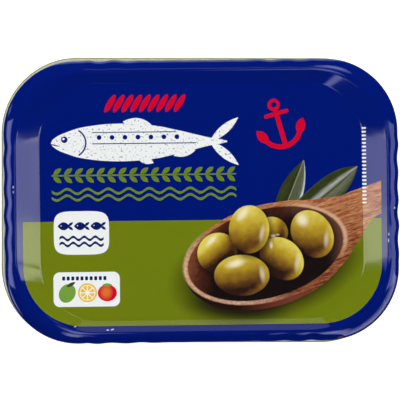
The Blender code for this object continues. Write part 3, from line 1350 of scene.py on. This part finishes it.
@dataclass
class SeamedEnd:
    """The easy-open end: rolled seam, chuck wall, groove, scored panel and rivet."""

    width: float
    depth: float
    corner: float
    seam_top: float = 2.8 * MM
    outer_rounding: float = 0.8 * MM
    foot_rounding: float = 0.5 * MM
    foot_width: float = 0.6 * MM
    seam_inner: float = 1.5 * MM
    seam_lap: float = 1.6 * MM
    plug_inset: float = 0.1 * MM
    plug_top: float = 5.4 * MM
    chuck_inset: float = 2.6 * MM
    groove_z: float = 4.6 * MM
    groove_bend: float = 0.4 * MM
    groove_floor: float = 0.6 * MM
    groove_slope: float = 0.9 * MM
    panel_z: float = 3.4 * MM
    panel_rings: int = 64
    score_depth: float = 0.14 * MM
    relief_edge: float = 2.8 * MM
    middle_x: float = 18.0 * MM
    middle_half: Station = (23.0 * MM, 25.0 * MM)
    middle_corner: float = 12.0 * MM
    middle_rise: float = 0.5 * MM
    middle_slope: float = 1.2 * MM
    bead_inset: float = 4.0 * MM
    bead_width: float = 0.8 * MM
    bead_depth: float = 0.25 * MM
    well_x: float = -24.6 * MM
    well_rise: float = 0.8 * MM
    well_flat: float = 3.0 * MM
    well_radius: float = 6.6 * MM
    rivet_x: float = -40.0 * MM
    rivet_profile: tuple[Station, ...] = (
        (0.0, 0.95), (1.2, 0.98), (1.55, 1.12), (1.75, 1.2), (2.4, 0.98), (2.8, 0.95), (3.0, 1.1),
        (3.0, 1.4), (2.8, 1.6), (1.8, 1.62), (1.8, 3.5), (0.0, 3.5),
    )

    def build(self) -> bpy.types.Object:
        """Make the end.

        Returns:
            The piece.
        """
        low = self.foot_rounding
        high = self.seam_top - self.outer_rounding
        stack = RingStack((self.width, self.depth), self.corner, low, high, (60, 40, 1))
        self.close_above(stack, high)
        self.hollow_below(stack, low)
        edge = Tinplate(ink(226, 226, 208), roughness=0.45, metallic=0.2)
        materials = [olive_lacquer(), bare_tinplate("seam_edge", edge)]
        piece = make_piece("seamed_end", stack.bm, materials)
        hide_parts("easy_open_end")
        return piece

    def close_above(self, stack: RingStack, high: float) -> None:
        """Round the seam's shoulder, lay its bare edge against the can and close it inside.

        Args:
            stack: The end's rings.
            high: The height at which the seam's wall ends above.
        """
        lacquered = quarter(0.0, high, self.outer_rounding, 1, 8)
        stack.draw_in(stack.upper, lacquered[:5])
        done = lacquered[4][0]
        bare = [(inset - done, height) for inset, height in lacquered[5:]]
        bare.append((self.seam_lap - done, self.seam_top))
        stack.draw_in(stack.upper, bare, slot=1)
        stack.turn(stack.upper.verts, BODY_TURN)
        stack.draw_in(stack.upper, [(self.plug_inset, self.plug_top)])

    def hollow_below(self, stack: RingStack, low: float) -> None:
        """Form the seam's foot, the chuck wall, the groove, the score line and the panel.

        Args:
            stack: The end's rings.
            low: The height at which the seam's wall ends below.
        """
        foot_end = self.foot_rounding + self.foot_width
        stations = quarter(0.0, low, self.foot_rounding, -1, 6)
        stations.append((foot_end, 0.0))
        inner = self.seam_inner - foot_end
        for step in range(1, 6):
            angle = math.pi / 2 * step / 5
            stations.append((foot_end + inner * math.sin(angle), inner * (1 - math.cos(angle))))
        stack.draw_in(stack.lower, stations)
        stack.turn(stack.lower.verts, BODY_TURN)

        chuck = self.chuck_inset - self.seam_inner
        wall_end = (chuck - 0.1 * MM, self.groove_z - self.groove_bend)
        stations = [(0.3 * chuck, 1.6 * MM), (0.7 * chuck, 3.0 * MM), wall_end]
        stations += quarter(*wall_end, self.groove_bend, 1, 4)
        for share in (0.25, 0.5, 0.75, 1.0):
            height = self.groove_z + (self.panel_z - self.groove_z) * ease(share, 0.0, 1.0)
            stations.append((chuck + self.groove_floor + self.groove_slope * share, height))
        flat = chuck + self.groove_floor + self.groove_slope
        for offset, sink in ((0.5, 0.0), (0.62, 1.0), (0.74, 0.0), (1.3, 0.0)):
            stations.append((flat + offset * MM, self.panel_z + sink * self.score_depth))
        stack.draw_in(stack.lower, stations)
        stack.fill_in(stack.lower, self.panel_rings)
        reach_x = self.width / 2 - self.chuck_inset - self.relief_edge
        for vert in stack.bm.verts:
            if abs(vert.co.z - self.panel_z) < 0.001 * MM and abs(vert.co.x) < reach_x:
                vert.co.z += self.relief(vert.co.x, vert.co.y)

    def relief(self, x: float, y: float) -> float:
        """Return how far the panel is pressed upwards: a middle with a bead in it, and a finger well.

        Args:
            x: The place along the length.
            y: The place along the depth.

        Returns:
            The rise.
        """
        middle = self.outline(x - self.middle_x, y, *self.middle_half, self.middle_corner)
        rise = self.middle_rise * ease(-middle, 0.0, self.middle_slope)
        rise -= self.bead_depth * math.exp(-((middle + self.bead_inset) / self.bead_width) ** 2)
        well = math.hypot(x - self.well_x, y)
        return rise + self.well_rise * (1 - ease(well, self.well_flat, self.well_radius))

    def outline(self, x: float, y: float, half_x: float, half_y: float, corner: float) -> float:
        """Return the distance from a rounded rectangle's line, which is below 0 inside it.

        Args:
            x: The place from its middle, along the length.
            y: The same along the depth.
            half_x: Half its length.
            half_y: Half its depth.
            corner: The radius of its corners.

        Returns:
            The distance.
        """
        over_x = abs(x) - half_x + corner
        over_y = abs(y) - half_y + corner
        outside = math.hypot(max(over_x, 0.0), max(over_y, 0.0))
        return outside + min(max(over_x, over_y), 0.0) - corner

    def rivet(self) -> bpy.types.Object:
        """Make the rivet's head and stem by turning a profile.

        Returns:
            The piece.
        """
        bm = bmesh.new()
        verts = [bm.verts.new((radius * MM, 0.0, high * MM)) for radius, high in self.rivet_profile]
        edges = [bm.edges.new(pair) for pair in zip(verts, verts[1:])]
        bmesh.ops.spin(
            bm,
            geom=verts + edges,
            cent=(0.0, 0.0, 0.0),
            axis=(0.0, 0.0, 1.0),
            angle=2 * math.pi,
            steps=48,
            use_merge=True,
        )
        bmesh.ops.remove_doubles(bm, verts=bm.verts, dist=0.005 * MM)
        bmesh.ops.translate(bm, vec=(self.rivet_x, 0.0, 0.0), verts=bm.verts)
        return make_piece("rivet", bm, [bare_tinplate("rivet_tinplate")])


@dataclass
class PullRing:
    """The pull ring: a thin web with a curled rim and a curled edge round the finger hole."""

    nose_radius: float = 5.8 * MM
    loop_radius: float = 10.5 * MM
    loop_distance: float = 15.0 * MM
    hole_radius: float = 7.2 * MM
    hole_offset: float = 0.4 * MM
    rivet_hole: float = 2.1 * MM
    rivet_x: float = -40.0 * MM
    middle_z: float = 2.5 * MM
    thickness: float = 1.2 * MM
    web_thickness: float = 0.5 * MM
    curl: float = 0.5 * MM

    def arc(self, centre: float, radius: float, start: float, stop: float, steps: int) -> list[Station]:
        """Return the points of an arc about a centre on the ring's own axis.

        Args:
            centre: The centre's place on that axis.
            radius: The radius.
            start: The angle where it starts.
            stop: The angle where it ends.
            steps: How many steps it has.

        Returns:
            The points, in order.
        """
        points = []
        for step in range(steps + 1):
            angle = start + (stop - start) * step / steps
            points.append((centre + radius * math.cos(angle), radius * math.sin(angle)))
        return points

    def outer(self, inset: float) -> list[Station]:
        """Return the ring's outer line, drawn in by an inset.

        Args:
            inset: The inset.

        Returns:
            The points, in order.
        """
        touch = math.acos((self.nose_radius - self.loop_radius) / self.loop_distance)
        loop = self.arc(self.loop_distance, self.loop_radius - inset, -touch, touch, 72)
        return loop + self.arc(0.0, self.nose_radius - inset, touch, 2 * math.pi - touch, 36)

    def circle(self, centre: float, radius: float) -> list[Station]:
        """Return a full circle without a doubled end."""
        return self.arc(centre, radius, 0.0, 2 * math.pi, 64)[:-1]

    def outline_mesh(
        self, name: str, lines: Sequence[Sequence[Station]], settings: dict[str, object]
    ) -> bpy.types.Mesh:
        """Make a mesh from closed lines in the ring's plane.

        Args:
            name: The mesh's name.
            lines: The closed lines.
            settings: The curve's own properties.

        Returns:
            The mesh, in the tin's place.
        """
        curve = bpy.data.curves.new(name, "CURVE")
        for key, setting in settings.items():
            setattr(curve, key, setting)
        for line in lines:
            spline = curve.splines.new("POLY")
            spline.points.add(len(line) - 1)
            for point, (x, y) in zip(spline.points, line):
                point.co = (x, y, 0.0, 1.0)
            spline.use_cyclic_u = True
        holder = bpy.data.objects.new(name, curve)
        bpy.context.scene.collection.objects.link(holder)
        bpy.context.view_layer.update()
        mesh = bpy.data.meshes.new_from_object(holder.evaluated_get(bpy.context.evaluated_depsgraph_get()))
        bpy.data.objects.remove(holder)
        return mesh

    def build(self) -> bpy.types.Object:
        """Make the ring.

        Returns:
            The piece.
        """
        hole_x = self.loop_distance + self.hole_offset
        rim = self.thickness / 2
        edge = self.outer(rim)
        hole = self.circle(hole_x, self.hole_radius + self.curl)
        flat = {"dimensions": "2D", "fill_mode": "BOTH", "extrude": self.web_thickness / 2}
        web = self.outline_mesh("ring_web", [edge, hole, self.circle(0.0, self.rivet_hole)], flat)
        tube = {"dimensions": "3D", "bevel_resolution": 4}
        rolled = self.outline_mesh("ring_rim", [edge], {**tube, "bevel_depth": rim})
        lip = self.outline_mesh("ring_lip", [hole], {**tube, "bevel_depth": self.curl})
        bm = bmesh.new()
        for mesh in (web, rolled, lip):
            bm.from_mesh(mesh)
            bpy.data.meshes.remove(mesh)
        bmesh.ops.remove_doubles(bm, verts=bm.verts, dist=0.001 * MM)
        bmesh.ops.translate(bm, vec=(self.rivet_x, 0.0, self.middle_z), verts=bm.verts)
        piece = make_piece("ring_tab", bm, [bare_tinplate("ring_tinplate")])
        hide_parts("pull_ring")
        return piece


def facing(place: Sequence[float], aim: Sequence[float]) -> Matrix:
    """Return the stand of a thing that looks from a place at a point, with its top towards +Y or up.

    Args:
        place: Where it stands.
        aim: What it looks at.

    Returns:
        Its matrix.
    """
    way = (Vector(aim) - Vector(place)).normalized()
    top = Vector((0.0, 1.0, 0.0)) if abs(way.y) < 0.9 else Vector((0.0, 0.0, 1.0))
    right = way.cross(top).normalized()
    above = right.cross(way)
    stand = Matrix((right, above, -way)).transposed().to_4x4()
    return Matrix.Translation(Vector(place)) @ stand


@dataclass(frozen=True)
class SoftBox:
    """A soft rectangular light that only lights surfaces and is not mirrored in them."""

    name: str
    place: Triple
    wide: float
    high: float
    brightness: float
    aim: Triple = (0.0, 0.0, 0.02)

    def build(self) -> None:
        """Make the light; its power follows from its brightness, which is 1 for white paper."""
        lamp = bpy.data.lights.new(self.name, "AREA")
        lamp.shape = "RECTANGLE"
        lamp.size = self.wide
        lamp.size_y = self.high
        lamp.energy = self.brightness * self.wide * self.high * math.pi
        item = bpy.data.objects.new(self.name, lamp)
        item.matrix_world = facing(self.place, self.aim)
        item.visible_glossy = False
        bpy.context.scene.collection.objects.link(item)


@dataclass(frozen=True)
class MirrorCard:
    """A glowing card far from the tin that is only seen as a reflection.

    Its heading is counted from +X towards +Y, its lean from straight up, and its spans are angles
    along the lean and across it, all in degrees.
    """

    name: str
    heading: float
    lean: tuple[float, float]
    across: tuple[float, float]
    brightness: float
    colour: Triple = (1.0, 1.0, 1.0)
    soft: bool = False
    distance: float = 5.0

    def build(self) -> None:
        """Make the card as a light that has no effect but its reflection."""
        heading = math.radians(self.heading)
        lean = math.radians(sum(self.lean) / 2)
        outwards = Vector((math.cos(heading), math.sin(heading), 0.0))
        up = Vector((0.0, 0.0, 1.0))
        away = outwards * math.sin(lean) + up * math.cos(lean)
        along = outwards * math.cos(lean) - up * math.sin(lean)
        side = up.cross(outwards)
        first, last = (math.tan(math.radians(angle)) for angle in self.across)
        wide = last - first
        high = 2 * math.tan(math.radians((self.lean[1] - self.lean[0]) / 2))
        stand = Matrix((side, -along, away)).transposed().to_4x4()
        middle = away + side * (first + last) / 2
        layers = (1.2, 0.9, 0.6) if self.soft else (1.0,)
        for step, share in enumerate(layers):
            distance = self.distance * (1 + 0.02 * step)
            lamp = bpy.data.lights.new(self.name, "AREA")
            lamp.shape = "ELLIPSE" if self.soft else "RECTANGLE"
            lamp.size = wide * distance * share
            lamp.size_y = high * distance * share
            area = lamp.size * lamp.size_y * (math.pi / 4 if self.soft else 1.0)
            lamp.energy = self.brightness / len(layers) * area * math.pi
            lamp.color = self.colour
            item = bpy.data.objects.new(self.name, lamp)
            item.matrix_world = Matrix.Translation(middle * distance) @ stand
            item.visible_diffuse = False
            bpy.context.scene.collection.objects.link(item)


@dataclass
class Studio:
    """A white light table, soft boxes, mirror cards and dark air above."""

    table_side: float = 6.0
    table_paleness: float = 0.6
    table_glow: float = 0.8
    lights: list[SoftBox | MirrorCard] = field(default_factory=list)

    def build(self) -> None:
        """Make the table, the air and the lights."""
        self.table()
        self.air()
        for light in self.lights:
            light.build()
        bpy.context.scene.view_settings.view_transform = "Standard"

    def table(self) -> None:
        """Lay the white table at the tin's foot; it glows a little, so the tin has no hard shadow."""
        bm = bmesh.new()
        bmesh.ops.create_grid(bm, x_segments=1, y_segments=1, size=self.table_side / 2)
        mesh = bpy.data.meshes.new("table")
        bm.to_mesh(mesh)
        bm.free()
        canvas = Canvas("table_white")
        settings = {
            "Base Color": (*[self.table_paleness] * 3, 1.0),
            "Roughness": 1.0,
            "Specular IOR Level": 0.0,
            "Emission Color": (1.0, 1.0, 1.0, 1.0),
            "Emission Strength": self.table_glow,
        }
        for name, setting in settings.items():
            canvas.shader.inputs[name].default_value = setting
        clear = canvas.add("ShaderNodeBsdfTransparent").outputs[0]
        under = canvas.add("ShaderNodeNewGeometry").outputs["Backfacing"]
        mixed = canvas.add("ShaderNodeMixShader", under, canvas.shader.outputs[0], clear).outputs[0]
        canvas.feed(canvas.tree.nodes["Material Output"].inputs["Surface"], mixed)
        mesh.materials.append(canvas.material)
        table = bpy.data.objects.new("table", mesh)
        table.visible_glossy = False
        bpy.context.scene.collection.objects.link(table)

    def air(self) -> None:
        """Make the surroundings white to look at; as a light they are dark above and pale far below."""
        world = bpy.data.worlds.new("studio_air")
        world.use_nodes = True
        tree = world.node_tree
        dim = tree.nodes["Background"]
        heading = tree.nodes.new("ShaderNodeTexCoord")
        split = tree.nodes.new("ShaderNodeSeparateXYZ")
        below = tree.nodes.new("ShaderNodeMapRange")
        below.interpolation_type = "SMOOTHSTEP"
        spans = {"From Min": -0.84, "From Max": -0.99, "To Min": 0.012, "To Max": 0.85}
        for name, value in spans.items():
            below.inputs[name].default_value = value
        pale = tree.nodes.new("ShaderNodeBackground")
        pale.inputs["Color"].default_value = (1.0, 1.0, 1.0, 1.0)
        seen = tree.nodes.new("ShaderNodeLightPath")
        mixed = tree.nodes.new("ShaderNodeMixShader")
        tree.links.new(heading.outputs["Generated"], split.inputs[0])
        tree.links.new(split.outputs["Z"], below.inputs["Value"])
        tree.links.new(below.outputs[0], dim.inputs["Color"])
        tree.links.new(seen.outputs["Is Camera Ray"], mixed.inputs[0])
        tree.links.new(dim.outputs[0], mixed.inputs[1])
        tree.links.new(pale.outputs[0], mixed.inputs[2])
        tree.links.new(mixed.outputs[0], tree.nodes["World Output"].inputs["Surface"])
        bpy.context.scene.world = world


@dataclass(frozen=True)
class Viewpoint:
    """The photographer's camera, nearly straight above the tin."""

    place: Triple = (-0.027, 0.010, 0.7712)
    aim: Triple = (-0.0005, 0.00029, 0.0212)
    pixels_per_radian: float = 2866.0
    sensor: float = 36.0

    def build(self) -> None:
        """Make the camera and use it."""
        lens = bpy.data.cameras.new("camera")
        lens.sensor_width = self.sensor
        lens.lens = self.pixels_per_radian / PHOTO_SIDE * self.sensor
        lens.clip_start = 0.01
        camera = bpy.data.objects.new("camera", lens)
        camera.matrix_world = facing(self.place, self.aim)
        bpy.context.scene.collection.objects.link(camera)
        bpy.context.scene.camera = camera


def studio_lights() -> list[SoftBox | MirrorCard]:
    """Return the studio's lights: those that light the tin, then those that it mirrors.

    Returns:
        The lights.
    """
    pale_sky = (0.95, 0.96, 1.2)
    sky = (0.9, 0.95, 1.5)
    warm_sky = (1.1, 1.12, 0.3)
    blue_sky = (0.9, 0.97, 1.75)
    return [
        SoftBox("key_back", (0.0, 0.85, 0.85), 1.5, 0.9, 4.0),
        SoftBox("fill_front", (0.0, -0.5, 1.1), 1.5, 0.7, 2.0),
        SoftBox("low_front", (0.0, -1.1, 0.45), 1.6, 0.5, 1.0),
        MirrorCard("high_right", 0.0, (11.0, 12.55), (-2.7, 1.1), 2.7, pale_sky),
        MirrorCard("high_right_low", 0.0, (11.0, 12.55), (-2.7, -1.05), 2.2, warm_sky, distance=5.3),
        MirrorCard("high_right_tail", 0.0, (12.55, 13.3), (-0.6, 2.6), 5.0, (1.0, 1.0, 0.78)),
        MirrorCard("high_left", 180.0, (6.3, 8.52), (-1.1, 2.8), 2.6, pale_sky),
        MirrorCard("high_left_low", 180.0, (6.3, 8.52), (1.1, 2.8), 2.0, warm_sky, distance=5.3),
        MirrorCard("high_back", 90.0, (22.8, 29.4), (-8.5, 2.4), 0.8),
        MirrorCard("low_left", 180.0, (40.0, 88.0), (-14.0, 17.0), 2.0, blue_sky),
        MirrorCard("low_left_core", 180.0, (50.0, 74.0), (-14.0, 17.0), 1.2, blue_sky, distance=5.3),
        MirrorCard("low_right", 0.0, (36.0, 80.0), (-17.0, 10.0), 1.9, blue_sky),
        MirrorCard("low_right_foot", 0.0, (14.0, 36.0), (-3.2, -1.1), 1.7, blue_sky),
        MirrorCard("low_back", 90.0, (103.0, 150.0), (-14.0, 14.0), 0.9),
        MirrorCard("front_left_thin", -102.0, (20.0, 23.4), (-1.5, 1.5), 2.7, sky, soft=True),
        MirrorCard("front_left_high", -101.0, (9.5, 20.0), (-2.7, 2.7), 3.4, sky, soft=True),
        MirrorCard("front_left_mid", -101.0, (27.5, 50.0), (-4.6, 4.6), 3.8, sky, soft=True),
        MirrorCard("back_corner", 68.0, (30.0, 50.0), (-6.0, 7.5), 3.6, sky, soft=True),
        MirrorCard("back_corner_high", 62.0, (7.0, 18.5), (-2.8, 2.4), 2.4, sky, soft=True),
        MirrorCard("front_right_high", -75.0, (30.5, 52.0), (-4.6, 5.0), 3.6, sky, soft=True),
        MirrorCard("front_right_mid", -68.0, (40.0, 70.0), (-5.0, 5.0), 3.0, sky, soft=True),
        MirrorCard("front_left_low", -154.0, (88.0, 106.0), (-12.0, 12.0), 3.2, sky, soft=True),
        MirrorCard("corner_low_1", -21.0, (56.0, 104.0), (-10.5, 10.5), 1.35, sky),
        MirrorCard("corner_core_1", -21.0, (70.0, 99.0), (-10.5, 10.5), 1.4, sky, distance=5.3),
        MirrorCard("corner_low_2", -42.0, (58.0, 104.0), (-10.5, 10.5), 1.35, sky),
        MirrorCard("corner_core_2", -42.0, (72.0, 99.0), (-10.5, 10.5), 1.7, sky, distance=5.3),
        MirrorCard("corner_low_3", -63.0, (60.0, 104.0), (-7.0, 10.5), 1.35, sky),
        MirrorCard("corner_core_3", -63.0, (74.0, 99.0), (-7.0, 10.5), 1.6, sky, distance=5.3),
        MirrorCard("back_right_glow", 11.0, (16.0, 48.0), (-2.2, 1.6), 0.6, sky, soft=True, distance=5.6),
        MirrorCard("back_left_glow", 159.0, (84.0, 108.0), (-5.0, 4.0), 1.4, sky, soft=True, distance=5.6),
    ]


def main() -> None:
    """Load the frame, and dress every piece."""
    logging.basicConfig(level=logging.INFO, format="%(name)s: %(message)s")
    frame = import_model()
    log.info("frame: nodes %s on bodies %s", ", ".join(frame["nodes"]), ", ".join(frame["bodies"]))

    low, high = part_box("easy_open_end")
    seam_width = high[0] - low[0]
    seam_depth = high[1] - low[1]
    tin_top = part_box("drawn_can")[1][2]
    can_foot = 2.6 * MM
    seam_proud = 1.2 * MM
    # The seam stands out a little less along the long sides than at the short ones.
    can_depth = seam_depth - 1.85 * seam_proud
    can = DrawnCan(seam_width - 2 * seam_proud, can_depth, tin_top, can_foot)
    can.build()
    end = SeamedEnd(seam_width, seam_depth, can.corner + seam_proud)
    end.build()
    end.rivet()
    PullRing().build()

    Studio(lights=studio_lights()).build()
    Viewpoint().build()


if __name__ == "__main__":
    main()
